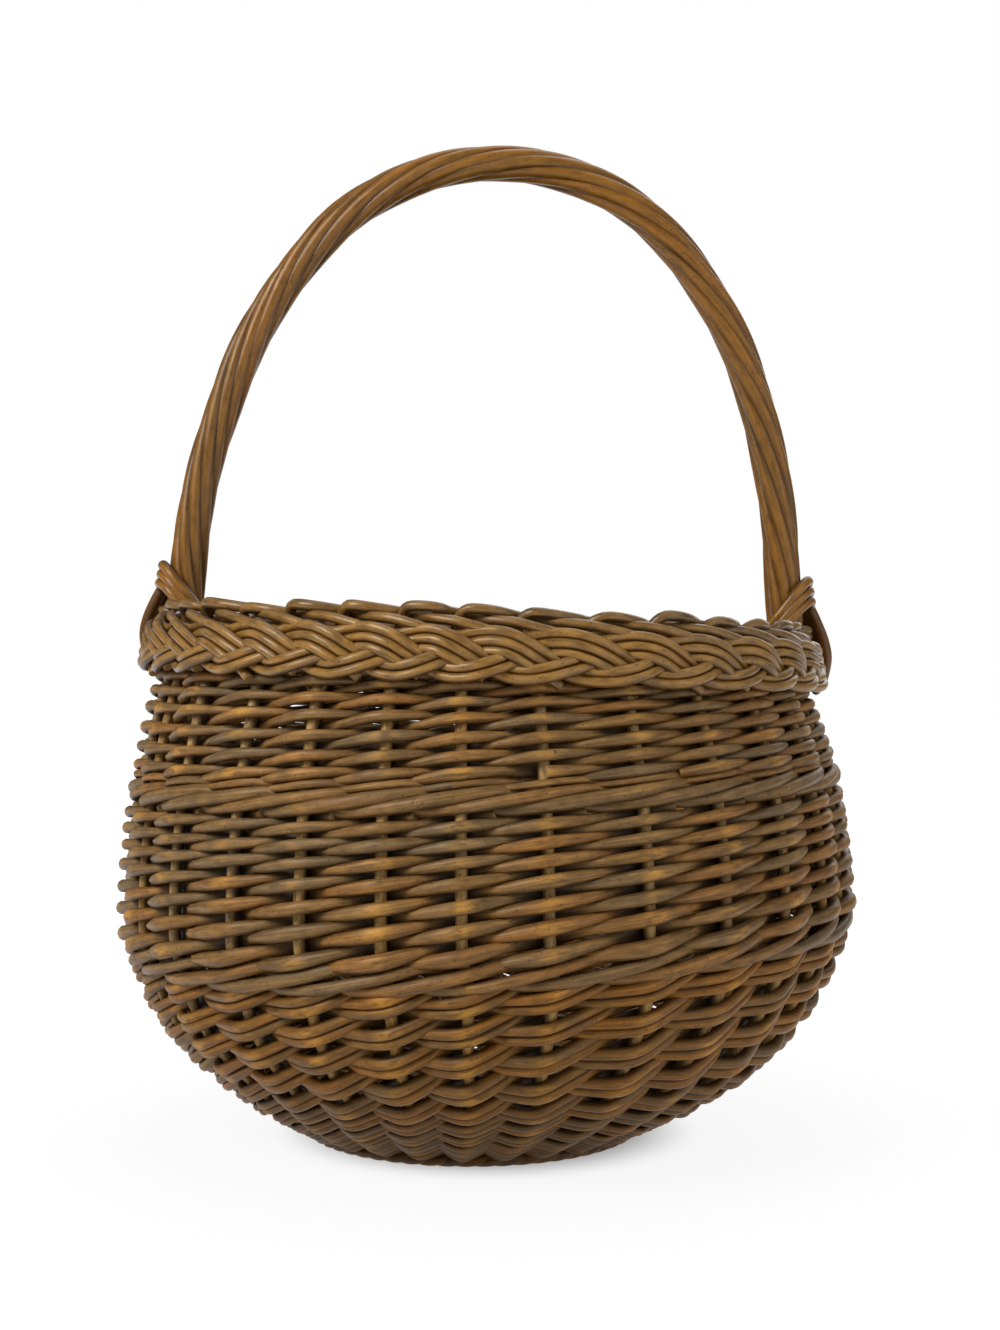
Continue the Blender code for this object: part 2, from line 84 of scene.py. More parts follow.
# Hand-made lean of the whole basket, as in the solids
base_shift = 0.0065
bowl_shift = 0.0012
wale_shift = 0.0022
rim_shift = 0.0012
apex_shift = 0.0036
bowl_shift_height_share = 0.385
wale_shift_height_share = 0.80
lower_wale_slope_share = 0.050
upper_wale_slope_share = 0.024
rim_slope_share = -0.035
lean_end_height = handle_spring_height + (handle_apex_height - handle_spring_height) / 2
slope_keys = (
    (0.0, 0.0),
    (0.0905, lower_wale_slope_share),
    (0.1560, upper_wale_slope_share),
    (plait_height, rim_slope_share),
    (lean_end_height, 0.0),
)
shift_keys = (
    (0.0, -base_shift),
    (belly_height * bowl_shift_height_share, bowl_shift),
    (belly_height * wale_shift_height_share, wale_shift),
    (belly_height, 0.0),
    (plait_height, -rim_shift),
    (handle_apex_height, apex_shift),
)
drift_keys = (
    (wall_inset, 0.0),
    (belly_height / 2, 1.0),
    (plait_height, 1.0),
    (lean_end_height, 0.0),
)
stake_drift_shares = np.array((
    -0.10, -0.16, -0.02, 0.01, 0.05, 0.07, 0.03, 0.0, -0.05, 0.04,
    0.08, -0.03, -0.07, 0.02, 0.06, -0.04, 0.05, 0.09, -0.02, -0.06,
    0.02, 0.0, 0.03, -0.02, -0.01, 0.09, 0.05, 0.02,
))

# Rows of weaving by their heights at the front
under_row_count = 4
first_row_way = 0.0030
bowl_row_heights = (0.0155, 0.0214, 0.0280, 0.0358, 0.0470, 0.0596, 0.0720, 0.0845)
lower_wale_middle = 0.0935
middle_row_heights = (0.1018, 0.1118, 0.1205, 0.1293, 0.1371, 0.1438, 0.1506)
upper_wale_middle = 0.1600
thin_pair_height = 0.1662
lower_wale_half_rise = 0.0054
upper_wale_half_rise = 0.0044
upper_row_heights = (0.1700, 0.1765, 0.1834, 0.1909, 0.1972, 0.2030, 0.2086, 0.2138)
weave_top_height = 0.2180

# Thickness of the rods, how they fill their rows and how far they spread inside the stakes
middle_rod_radii = (0.00272, 0.00240)
upper_rod_radii = (0.00235, 0.00206)
bowl_rod_radii = (0.00138, 0.00138)
row_fill_share = 0.322
bowl_fill_share = 0.320
row_inside_spread = 0.46
bowl_inside_spread = 0.84
thin_pair_radius = 0.0016
wale_rod_radius = 0.00250
border_rod_radius = 0.00220
rope_rod_radius = 0.00310
foot_rod_radius = 0.00240


def smoothstep(share):
    share = np.clip(share, 0.0, 1.0)
    return share * share * (3 - 2 * share)


def between(ends, share):
    """Value at a share of the way from the first of two ends to the second."""
    return ends[0] + (ends[1] - ends[0]) * share


def smooth_between(value, keys):
    """Values read from (place, amount) keys, eased from each to the next."""
    places = np.array([key[0] for key in keys])
    amounts = np.array([key[1] for key in keys])
    index = np.clip(np.searchsorted(places, value) - 1, 0, len(places) - 2)
    share = smoothstep((value - places[index]) / (places[index + 1] - places[index]))
    return amounts[index] + (amounts[index + 1] - amounts[index]) * share


def lean(points):
    """Points of the even basket, moved to their places on the hand-made one."""
    x, y, z = points.T
    bays = (np.arctan2(y, x) - first_stake_angle) / bay_angle
    index = np.floor(bays).astype(int)
    here = stake_drift_shares[index % stake_count]
    after = stake_drift_shares[(index + 1) % stake_count]
    drift = (here + (after - here) * smoothstep(bays - index)) * bay_angle
    turn = drift * smooth_between(z, drift_keys)
    leaned_x = x * np.cos(turn) - y * np.sin(turn)
    leaned_y = x * np.sin(turn) + y * np.cos(turn)
    slope = smooth_between(z, slope_keys)
    shift = smooth_between(z, shift_keys)
    return np.stack((leaned_x + shift, leaned_y, z + slope * leaned_x), axis=1)


# Stations of the wall's line, round the bowl and up the shoulder
bowl_station_count = 91
shoulder_station_count = 48


def make_wall():
    """Line of the stakes' centres with its outward normal, at many stations."""
    turns = np.linspace(0.0, math.pi / 2, bowl_station_count)
    swell = np.sin(turns) ** bowl_roundness_share
    radius = base_radius + (belly_radius - base_radius) * swell
    height = belly_height * (1 - np.cos(turns))
    upper = np.linspace(belly_height, weave_top_height, shoulder_station_count)[1:]
    share = (upper - belly_height) / (wall_top_height - belly_height)
    radius = np.append(radius, belly_radius - (belly_radius - rim_radius) * share ** 2)
    height = np.append(height, upper)
    run = np.gradient(radius)
    climb = np.gradient(height)
    climb[0] = 0.0
    length = np.hypot(run, climb)
    normal_r = climb / length
    normal_z = -run / length
    line_r = radius - normal_r * wall_inset
    line_z = height - normal_z * wall_inset
    steps = np.hypot(np.diff(line_r), np.diff(line_z))
    return np.append(0.0, np.cumsum(steps)), line_r, line_z, normal_r, normal_z


wall_ways, wall_r, wall_z, wall_normal_r, wall_normal_z = make_wall()


def polar(radius, angle, height):
    radius, angle, height = np.broadcast_arrays(*np.atleast_1d(radius, angle, height))
    return np.stack((radius * np.cos(angle), radius * np.sin(angle), height), axis=1)


def wall_normal(angle, way):
    return polar(
        np.interp(way, wall_ways, wall_normal_r), angle, np.interp(way, wall_ways, wall_normal_z))


def wall_points(angle, way, out):
    """Points at ways along the wall, moved outward from the stakes' line."""
    radius = np.interp(way, wall_ways, wall_r) + out * np.interp(way, wall_ways, wall_normal_r)
    height = np.interp(way, wall_ways, wall_z) + out * np.interp(way, wall_ways, wall_normal_z)
    return polar(radius, angle, height)


def way_to_height(height):
    """Way along the stakes' line at which it reaches a height."""
    return np.interp(height, wall_z, wall_ways)


def base_points(angle, radius, out):
    """Points at radii of the domed base, moved down from the sticks' line."""
    dome = base_dome * (1 - (radius / base_radius) ** 2)
    return polar(radius, angle, wall_inset + dome - out)


def downward(path):
    return np.tile((0.0, 0.0, -1.0), (len(path), 1))


def curve_through(points, steps=14):
    """Smooth run of points through the ones given."""
    points = np.asarray(points, dtype=float)
    padded = np.vstack((2 * points[0] - points[1], points, 2 * points[-1] - points[-2]))
    share = np.linspace(0.0, 1.0, steps, endpoint=False)[:, None]
    run = []
    for index in range(len(points) - 1):
        before, low, high, after = padded[index:index + 4]
        run.append(0.5 * (
            2 * low + (high - before) * share
            + (2 * before - 5 * low + 4 * high - after) * share ** 2
            + (3 * low - before - 3 * high + after) * share ** 3
        ))
    return np.vstack(run + [points[-1:]])


def ways_along(points):
    """Way from the first point to each, along their run."""
    steps = np.linalg.norm(np.diff(points, axis=0), axis=1)
    return np.append(0.0, np.cumsum(steps))


def resample(points, spacing):
    """The same run of points at an even spacing, with any further columns they carry."""
    ways = ways_along(points[:, :3])
    count = max(int(round(ways[-1] / spacing)), 2)
    even = np.linspace(0.0, ways[-1], count + 1)
    return np.stack([np.interp(even, ways, column) for column in points.T], axis=1)


# Marks on the rods that their finish reads, with the painted shade in their grooves and on faces turned
# inside, and the shape of their cut ends
groove_shade_share = 0.75
groove_shade_power = 1.6
inside_shade_share = 0.90
worn_power = 0.7
grain_reach = 5.0
cut_length_share = 0.15
cut_radius_share = 0.82


def directions(path, outward, closed):
    """Directions along a rod, out of its seen side and beside it, at each point of its path."""
    if closed:
        along = np.roll(path, -1, axis=0) - np.roll(path, 1, axis=0)
    else:
        along = np.gradient(path, axis=0)
    along = along / np.linalg.norm(along, axis=1, keepdims=True)
    normal = outward - along * np.sum(outward * along, axis=1, keepdims=True)
    normal = normal / np.linalg.norm(normal, axis=1, keepdims=True)
    return along, normal, np.cross(along, normal)


def add_object(name, data):
    made = bpy.data.objects.new(name, data)
    bpy.context.scene.collection.objects.link(made)
    return made


class Rods:
    """Tubes gathered into one mesh, with the marks that the finish reads."""

    def __init__(self):
        self.points = []
        self.grain = []
        self.marks = []
        self.quads = []
        self.caps = []
        self.count = 0

    def add(self, path, radius, outward, tone, wear_and_shade=0.0, sides=10, height_share=1.0,
            closed=False, open_side=0.0):
        """One rod along a path. The first side of each ring faces outward.

        The open side is 1 where the rod lies outside the stakes and -1 inside them:
        the face turned to the stakes is darkened as painted shade, and so are the sides of each rod where its
        neighbours lie.
        """
        along, normal, beside = directions(path, outward, closed)
        rows = [np.broadcast_to(row, len(path)) for row in (radius, height_share, open_side, tone, wear_and_shade)]
        rows += [ways_along(path), normal, beside]
        if not closed:
            cut_shift = cut_length_share * rows[0][[0, -1], None] * along[[0, -1]]
            path = np.vstack((path[:1] - cut_shift[:1], path, path[-1:] + cut_shift[1:]))
            rows = [np.concatenate((row[:1], row, row[-1:])) for row in rows]
            rows[0][[0, -1]] *= cut_radius_share
        radius, height_share, open_side, tone, wear_and_shade, ways, normal, beside = rows
        turns = 2 * math.pi * np.arange(sides) / sides
        cosine = np.cos(turns)[None, :]
        sine = np.sin(turns)[None, :]
        across = radius[:, None] * cosine / height_share[:, None]
        upward = radius[:, None] * sine * height_share[:, None]
        points = (path[:, None, :] + across[..., None] * normal[:, None, :]
                  + upward[..., None] * beside[:, None, :])
        ways = np.repeat(ways[:, None], sides, axis=1)
        grain = np.stack((radius[:, None] * cosine, radius[:, None] * sine, ways), axis=2)
        grain = grain + rng.uniform(0.0, grain_reach, 3)
        cut = np.zeros((len(path), sides))
        if not closed:
            cut[[0, -1]] = 1.0
        worn = wear_and_shade[:, None] * np.clip(cosine, 0.0, 1.0) ** worn_power
        # Painted shade: darker where a rod meets its neighbours, and on its face turned to the stakes when it
        # lies inside them
        inside_shade = np.maximum(-cosine * open_side[:, None], 0.0)
        painted_shade = groove_shade_share * (1 - np.abs(cosine)) ** groove_shade_power + inside_shade_share * inside_shade
        marks = np.stack((np.repeat(tone[:, None], sides, axis=1), worn - painted_shade, cut), axis=2)
        self.points.append(points.reshape(-1, 3))
        self.grain.append(grain.reshape(-1, 3))
        self.marks.append(marks.reshape(-1, 3))
        self.join(len(path), sides, closed)

    def join(self, rings, sides, closed):
        """Faces from ring to ring of the rod just added, and those of its cut ends."""
        index = self.count + np.arange(rings * sides).reshape(rings, sides)
        beside = np.roll(index, -1, axis=1)
        quads = np.stack((index, beside, np.roll(beside, -1, axis=0), np.roll(index, -1, axis=0)), axis=2)
        if not closed:
            quads = quads[:-1]
            self.caps += [tuple(index[0][::-1].tolist()), tuple(index[-1].tolist())]
        self.quads.append(quads.reshape(-1, 4))
        self.count += rings * sides

    def piece(self, name, finish, slot, *nodes):
        """The mesh as a piece of the scene that stands for some nodes of the solids."""
        quads = np.vstack(self.quads).tolist()
        mesh = bpy.data.meshes.new(name)
        mesh.from_pydata(np.vstack(self.points).tolist(), [], quads + self.caps)
        smooth = np.ones(len(mesh.polygons), dtype=bool)
        smooth[len(quads):] = False
        mesh.polygons.foreach_set("use_smooth", smooth)
        for label, rows in (("grain", self.grain), ("marks", self.marks)):
            layer = mesh.attributes.new(label, "FLOAT_VECTOR", "POINT")
            layer.data.foreach_set("vector", np.vstack(rows).astype(np.float32).ravel())
        mesh.materials.append(finish)
        mesh.update()
        made = add_object(name, mesh)
        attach(made, "root")
        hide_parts(*nodes)


def feed(tree, node, inputs):
    """Links sockets to the inputs of a node, or sets its own values."""
    for place, value in inputs.items():
        if isinstance(value, bpy.types.NodeSocket):
            tree.links.new(value, node.inputs[place])
        else:
            node.inputs[place].default_value = value


def add_node(tree, kind, inputs, **values):
    """Outputs of a new node with the values and inputs given."""
    node = tree.nodes.new(kind)
    for key, value in values.items():
        setattr(node, key, value)
    feed(tree, node, inputs)
    return node.outputs


def add_ramp(tree, source, stops, interpolation="LINEAR"):
    """Colour read from (place, colour) stops."""
    node = tree.nodes.new("ShaderNodeValToRGB")
    node.color_ramp.interpolation = interpolation
    elements = node.color_ramp.elements
    while len(elements) < len(stops):
        elements.new(1.0)
    for element, (place, colour) in zip(elements, stops):
        element.position = place
        element.color = colour
    feed(tree, node, {"Fac": source})
    return node.outputs["Color"]


def maths(tree, operation, first, second):
    return add_node(tree, "ShaderNodeMath", {0: first, 1: second}, operation=operation)[0]


def linear(red, green, blue):
    """Colour for a shader from the red, green and blue that a screen shows, 0 to 255."""
    values = np.array((red, green, blue)) / 255
    return (*(((values + 0.055) / 1.055) ** 2.4), 1.0)


# Noise in the willow: cells per metre across, beside and along a rod, and its detail
streak_noise = ((1100, 1100, 30), 4.0)
mottle_noise = ((420, 420, 150), 5.0)
speck_noise = ((900, 900, 520), 2.0)
blotch_noise = ((140, 140, 38), 3.0)
cloud_noise = ((60, 60, 14), 3.0)

# How noise and marks are spread: from low, from high, to low, to high
cloud_spread = (0.3, 0.7, -0.34, 0.34)
streak_spread = (0.36, 0.66, 0.0, 0.62)
blotch_spread = (0.3, 0.72, 0.80, 1.22)
speck_spread = (0.64, 0.72, 0.0, 0.65)
worn_spread = (0.0, 1.0, 0.0, 1.0)
# Painted shade, read from the marks below zero
painted_shade_spread = (0.0, -1.0, 0.0, 0.95)
cut_spread = (0.2, 0.8, 0.5, 0.9)
relief_spread = (0.0, 1.0, 0.0, 0.5)
roughness_spread = (0.3, 0.7, -0.09, 0.12)

# The same, for mottled willow and for even willow
mottle_spreads = ((0.3, 0.7, 0.66, 1.26), (0.3, 0.7, 0.84, 1.14))
worn_mottle_spreads = ((0.38, 0.60, 0.10, 1.0), (0.38, 0.60, 0.55, 1.0))

# Places of the cool, plain and warm tone, the other colours, the sheen and the relief
tone_places = (0.12, 0.5, 0.88)
# Dark colour of specks in the wood, also used for the painted shade
speck_and_shade_colour = (0.016, 0.009, 0.005, 1.0)
streak_colour = (0.10, 0.045, 0.012, 1.0)
cut_colour = linear(176, 140, 92)
specular_level = 0.42
specular_tint = (1.0, 0.90, 0.76, 1.0)
varnish_roughness = 0.26
relief_strength = 0.6
relief_height = 0.00035


def willow(name, cool, plain, warm, worn, roughness=0.5, gloss=0.05, even=0.0):
    """Varnished brown willow: streaks along each rod, its own tone, worn spots, painted shade, pale cut ends.
    """
    made = bpy.data.materials.new(name)
    made.use_nodes = True
    tree = made.node_tree

    def attribute(label):
        return add_node(tree, "ShaderNodeAttribute", {}, attribute_name=label)["Vector"]

    def noise(source, scale, detail):
        mapped = add_node(tree, "ShaderNodeMapping", {"Vector": source, "Scale": scale})["Vector"]
        return add_node(tree, "ShaderNodeTexNoise", {"Vector": mapped, "Scale": 1.0, "Detail": detail})["Fac"]

    def spread(source, low, high, to_low, to_high):
        ends = {"From Min": low, "From Max": high, "To Min": to_low, "To Max": to_high}
        return add_node(tree, "ShaderNodeMapRange", {"Value": source, **ends})["Result"]

    def spread_evenly(source, spreads):
        return spread(source, *(between(ends, even) for ends in zip(*spreads)))

    def mix(factor, first, second, blend="MIX"):
        return add_node(tree, "ShaderNodeMix", {0: factor, 6: first, 7: second},
                        data_type="RGBA", blend_type=blend)[2]

    grain = attribute("grain")
    # The marks carry tone, wear with painted shade below zero, and cut ends
    tone, wear_and_shade, cut = add_node(tree, "ShaderNodeSeparateXYZ", {0: attribute("marks")})
    streaks = noise(grain, *streak_noise)
    mottle = noise(grain, *mottle_noise)
    specks = noise(grain, *speck_noise)
    blotches = noise(grain, *blotch_noise)
    clouds = noise(grain, *cloud_noise)

    drifting = maths(tree, "ADD", tone, spread(clouds, *cloud_spread))
    colour = add_ramp(tree, drifting, tuple(zip(tone_places, (cool, plain, warm))))
    colour = mix(spread(streaks, *streak_spread), colour, streak_colour)
    bright = maths(tree, "MULTIPLY", spread(blotches, *blotch_spread), spread_evenly(mottle, mottle_spreads))
    grey = add_node(tree, "ShaderNodeCombineColor", {0: bright, 1: bright, 2: bright})[0]
    colour = mix(1.0, colour, grey, "MULTIPLY")
    worn_mottle = spread_evenly(mottle, worn_mottle_spreads)
    colour = mix(maths(tree, "MULTIPLY", spread(wear_and_shade, *worn_spread), worn_mottle), colour, worn)
    colour = mix(spread(specks, *speck_spread), colour, speck_and_shade_colour)
    # Painted shade from the marks below zero: grooves, faces inside the stakes, the lowest rows
    colour = mix(spread(wear_and_shade, *painted_shade_spread), colour, speck_and_shade_colour)
    colour = mix(maths(tree, "MULTIPLY", cut, spread(streaks, *cut_spread)), colour, cut_colour)

    low, high, smoother, rougher = roughness_spread
    relief = maths(tree, "ADD", spread(streaks, *relief_spread), mottle)
    bump = {"Strength": relief_strength, "Distance": relief_height, "Height": relief}
    feed(tree, tree.nodes["Principled BSDF"], {
        "Base Color": colour,
        "Roughness": spread(blotches, low, high, roughness + smoother, roughness + rougher),
        "Specular IOR Level": specular_level,
        "Specular Tint": specular_tint,
        "Coat Weight": gloss,
        "Coat Roughness": varnish_roughness,
        "Normal": add_node(tree, "ShaderNodeBump", bump)["Normal"],
    })
    return made


def make_finishes():
    """The willow of each part of the basket: cool, plain and warm rods, and worn spots."""
    worn = linear(216, 156, 64)
    return {
        "stakes": willow("stake_willow", linear(160, 130, 86), linear(175, 137, 79), linear(189, 142, 73),
                         linear(212, 168, 100)),
        "weave": willow("weave_willow", linear(133, 107, 70), linear(151, 113, 62), linear(163, 112, 53),
                        worn),
        "bowl": willow("bowl_willow", linear(126, 92, 42), linear(148, 99, 30), linear(160, 103, 26), worn),
        "border": willow("border_willow", linear(101, 76, 48), linear(116, 84, 41), linear(131, 91, 37),
                         linear(200, 148, 68), roughness=0.32, gloss=0.28, even=0.5),
        "handle": willow("handle_willow", linear(91, 59, 12), linear(106, 67, 6), linear(121, 73, 4),
                         linear(196, 132, 34), roughness=0.36, gloss=0.24, even=1.0),
    }


# Unevenness of single rods: thickness from butt to tip, size and tone of each, wear where it crosses
taper_shares = (1.10, 0.90)
rod_size_shares = (0.94, 1.06)
rod_tone_shares = (0.15, 0.85)
most_crossing_wear = 0.85
crossing_reach_share = 0.11
corner_step_count = 7


def joined(bays, shortest=17, longest=33):
    """Tone and thickness along a weaver that is joined rod to rod behind the stakes."""
    ends = [0.0]
    while ends[-1] < bays[-1]:
        ends.append(ends[-1] + rng.uniform(shortest, longest))
    ends = np.round(np.array(ends) / 2) * 2 + 1
    index = np.clip(np.searchsorted(ends, bays) - 1, 0, len(ends) - 2)
    share = np.clip((bays - ends[index]) / (ends[index + 1] - ends[index]), 0, 1)
    tones = rng.uniform(0.0, 1.0, len(ends))
    butt_first = rng.random(len(ends)) < 0.5
    taper = np.where(butt_first[index], share, 1 - share)
    return tones[index], between(taper_shares, taper)


def crossing_wear(bays):
    """Worn spots where a rod lies outside a stake, each worn by its own amount."""
    crossing = np.round(bays / 2).astype(int)
    amounts = rng.uniform(0.0, most_crossing_wear, np.ptp(crossing) + 1)
    near = 1 - np.abs(bays / 2 - crossing) / crossing_reach_share
    return amounts[crossing - crossing.min()] * smoothstep(near)


def wobble(places, size, period=5.0):
    """Small unevenness along a path, by places that grow along it."""
    knots = rng.normal(0.0, size, int(np.ptp(places) / period) + 3)
    return np.interp((places - places[0]) / period, np.arange(len(knots)), knots)


def periodic(phase, keys, period, blur):
    """Periodic run through (place, share) keys, with its corners rounded."""
    places = [key[0] for key in keys]
    shares = [key[1] for key in keys]
    offsets = np.linspace(-blur, blur, corner_step_count)
    return sum(np.interp(np.mod(phase + offset, period), places, shares) for offset in offsets) / len(offsets)


def level_way(level, ways):
    """Way up the wall at a fractional row, carried on past the first and last row."""
    rows = np.arange(len(ways))
    below = ways[0] + np.minimum(level, 0.0) * (ways[1] - ways[0])
    above = np.maximum(level - rows[-1], 0.0) * (ways[-1] - ways[-2])
    return np.where(level < 0.0, below, np.interp(level, rows, ways) + above)


# Rods of the weave: rings to a bay, height to thickness, and how fast their painted shade grows going inside
rings_per_bay = 12
rod_height_share = 1.05
open_side_gain = 1.6
tip_light_share = 0.45

# Rods of the rows: where they start and end, how they pass the stakes, and how uneven they are
first_bay = -1.25
last_bay_gap = 0.60
crossing_lag_bays = 0.05
seat_share = 0.90
curl_share = 0.20
pinch_share = 0.26
row_wobble = 0.00022
rod_wobble = 0.0001
depth_wobble = 0.00012
knot_share = 0.02
knot_bays = 2.0

# Painted shade that darkens the lowest rows, by ways up the wall
low_row_shade_share = 0.36
low_row_shade_from_way = 0.030
low_row_shade_to_way = 0.088

# Climb of a rod over two bays, by shares of a row
bowl_climb_keys = ((0.0, 0.0), (0.90, 0.61), (1.15, 0.69), (2.0, 1.0))
even_climb_keys = ((0.0, 0.0), (2.0, 1.0))

# Two rods of the lowest upper row start outside, where their cut butts show: stake, bays past it
upper_late_starts = {1: 0.01, 3: -0.52}


def open_sides(outside):
    """How far rods lie open, by how far outside the stakes they are, which sets their painted shade, with the
    ends between them left lit.
    """
    return np.clip(open_side_gain * outside + tip_light_share, -1.0, 1.0)


def rand_levels(rows, climb_keys):
    """Bays along a rod of a rand, counted from its stake, and its height in rows at each."""
    last_bay = 2 * rows - last_bay_gap
    bays = np.linspace(first_bay, last_bay, int((last_bay - first_bay) * rings_per_bay))
    level = np.floor(bays / 2) + periodic(bays, climb_keys, 2, 0.0)
    blur = np.ones(rings_per_bay // 4)
    return bays, np.convolve(np.pad(level, len(blur) // 2, "edge"), blur / blur.sum(), "valid")


def add_rand(name, finish, slot, ways, radii, fill_share, node, climb_keys, strand_rods, inside_spread,
             late_starts=None):
    """French rand: from each stake a rod climbs a row with every second stake it crosses.

    A strand of two rods lies side by side. Rods that start at even stakes stand for the
    first weaver of the solids, and those that start at odd stakes for the second. A rod
    is pinched where it passes between stakes and spreads inside them. Late starts say
    how many bays past its stake a rod begins.
    """
    bays, level = rand_levels(len(ways), climb_keys)
    pitch = np.interp(level, np.arange(len(ways)), np.gradient(ways))
    share = (bays - bays[0]) / (bays[-1] - bays[0])
    radius = np.maximum(between(radii, share), fill_share * pitch / strand_rods)
    outside = np.cos(math.pi * (bays + crossing_lag_bays))
    pinch = 1 - pinch_share / strand_rods * (1 - np.abs(outside))
    height_share = (rod_height_share + inside_spread * smoothstep(-outside)) * pinch
    open_side = open_sides(outside)
    outside = outside * (1 - curl_share + curl_share * outside ** 2)
    centre = level_way(level, ways)
    radius_here = np.interp(centre, wall_ways, wall_r)
    slope = np.gradient(centre, bays) / (radius_here * bay_angle)
    stretch = np.sqrt(1 + slope ** 2)
    # Painted shade on the lowest rows, taken off the wear so that it darkens them
    low_row_shade = low_row_shade_share * smoothstep((low_row_shade_to_way - centre) / (low_row_shade_to_way - low_row_shade_from_way))
    for turn, letter in enumerate("ab"):
        rods = Rods()
        for stake in range(turn, stake_count, 2):
            angle = first_stake_angle + (stake + bays) * bay_angle
            start = (late_starts or {}).get(stake, first_bay)
            shown = slice(int(np.searchsorted(bays, start)), None)
            shift = wobble(bays, row_wobble)
            for side in range(strand_rods):
                beside = (2 * side + 1 - strand_rods) * radius
                thickness = radius * rng.uniform(*rod_size_shares) * (1 + wobble(bays, knot_share, knot_bays))
                way = centre + beside / stretch + shift + wobble(bays, rod_wobble)
                turned = angle - beside * slope / stretch / radius_here
                out = (stake_radius + thickness * seat_share) * outside + wobble(bays, depth_wobble)
                path = lean(wall_points(turned, way, out))
                tone = rng.uniform(*rod_tone_shares)
                # Wear at the crossings, less the painted shade of the lowest rows
                wear_and_shade = crossing_wear(bays) - low_row_shade
                rods.add(path[shown], thickness[shown], wall_normal(turned, way)[shown], tone, wear_and_shade[shown],
                         height_share=height_share[shown], open_side=open_side[shown])
        rods.piece(f"{name}_{letter}", finish, slot, f"{node}_{letter}")


def bowl_ways():
    """Ways of the bowl's rows, with those under the belly that the side view hides."""
    visible = way_to_height(np.array(bowl_row_heights))
    step = (visible[0] - first_row_way) / under_row_count
    return np.append(first_row_way + step * np.arange(under_row_count), visible)


# Wales: how far out and up a rod lies over the three bays of a step, and how it is joined
wale_out_keys = ((0.0, 0.80), (0.5, 1.0), (1.0, 0.95), (1.5, 0.1), (2.0, -1.0), (2.5, -0.1), (3.0, 0.80))
wale_rise_keys = ((0.0, -0.62), (1.0, 0.42), (1.5, 0.95), (2.0, 0.6), (2.5, -0.80), (3.0, -0.62))
wale_step_bays = 3
wale_out_blur = 0.3
wale_rise_blur = 0.15
wale_join_bays = (20, 34)
wale_tone_shares = (0.25, 0.85)
wale_wear_share = 0.3
wale_inside_spread = 0.60
wale_inside_onset = 0.2

# Thin pair above the upper wale: its swing up and down, and its tones
pair_rise_share = 0.75
pair_tone_shares = (0.3, 0.7)


def add_wale(name, finish, middle_height, half_rise, node, thin_pair=None):
    """Three rods, each outside two stakes and inside the third, in one unbroken round."""
    bays = np.arange(wale_step_bays * stake_count * rings_per_bay) / rings_per_bay
    angle = first_stake_angle + bays * bay_angle
    tone, thickness = joined(bays, *wale_join_bays)
    outside = periodic(bays, wale_out_keys, wale_step_bays, wale_out_blur)
    rise = periodic(bays, wale_rise_keys, wale_step_bays, wale_rise_blur)
    way = way_to_height(middle_height) + half_rise * rise
    inside = smoothstep(wale_inside_onset - outside)
    rods = Rods()
    rods.add(lean(wall_points(angle, way, (stake_radius + wale_rod_radius) * outside)),
             wale_rod_radius * thickness, wall_normal(angle, way), between(wale_tone_shares, tone),
             crossing_wear(bays) * wale_wear_share, closed=True, open_side=open_sides(outside),
             height_share=rod_height_share + wale_inside_spread * inside)
    if thin_pair:
        add_thin_pair(rods, thin_pair)
    rods.piece(name, finish, "weave", node)


def add_thin_pair(rods, height):
    """Two thin rods above a wale, each outside every second stake."""
    bays = np.arange(stake_count * rings_per_bay) / rings_per_bay
    angle = first_stake_angle + bays * bay_angle
    for turn in (0, 1):
        tone, thickness = joined(bays)
        phase = math.pi * (bays + turn)
        way = way_to_height(height) + thin_pair_radius * pair_rise_share * np.sin(phase)
        out = (stake_radius + thin_pair_radius) * np.cos(phase)
        rods.add(lean(wall_points(angle, way, out)), thin_pair_radius * thickness, wall_normal(angle, way),
                 between(pair_tone_shares, tone), closed=True, open_side=np.cos(phase))


# Stakes: stations up the wall and along the foot, where the foot starts and bends, and wear
stake_station_count = 90
foot_station_count = 4
foot_tuck = 0.004
foot_bend_setback = 0.008
stake_wear_shares = (0.50, 0.90)


def add_stakes(finish):
    """Side stakes from their feet in the base up to the border."""
    ways = np.linspace(0.0, wall_ways[-1], stake_station_count)
    foot_radii = np.linspace(
        stake_foot_radius - foot_tuck, base_radius - foot_bend_setback, foot_station_count)
    for index in range(stake_count):
        angle = first_stake_angle + index * bay_angle
        foot = base_points(angle, foot_radii, 0.0)
        path = np.vstack((foot, wall_points(angle, ways, 0.0)))
        outward = np.vstack((downward(foot), wall_normal(angle, ways)))
        tone = rng.uniform(0, 1)
        rods = Rods()
        rods.add(lean(path), stake_radius, outward, tone, between(stake_wear_shares, rng.random()))
        rods.piece(f"side_stake_{index + 1:02d}", finish, "stakes", f"stake_{index + 1:02d}")


# Rods of the border, and their way through the plait in units, from one rod to the next
unit_angle = 2 * math.pi / plait_unit_count
strand_count = 3
first_crest_units = 3.45
first_turn = math.radians(40)
last_turn = math.radians(925)
plait_station_count = 150
plait_rise = 0.00655
plait_drop = 0.00042
plait_depth = 0.0023
lane_spacing = 0.0041
lane_drop_share = 0.5

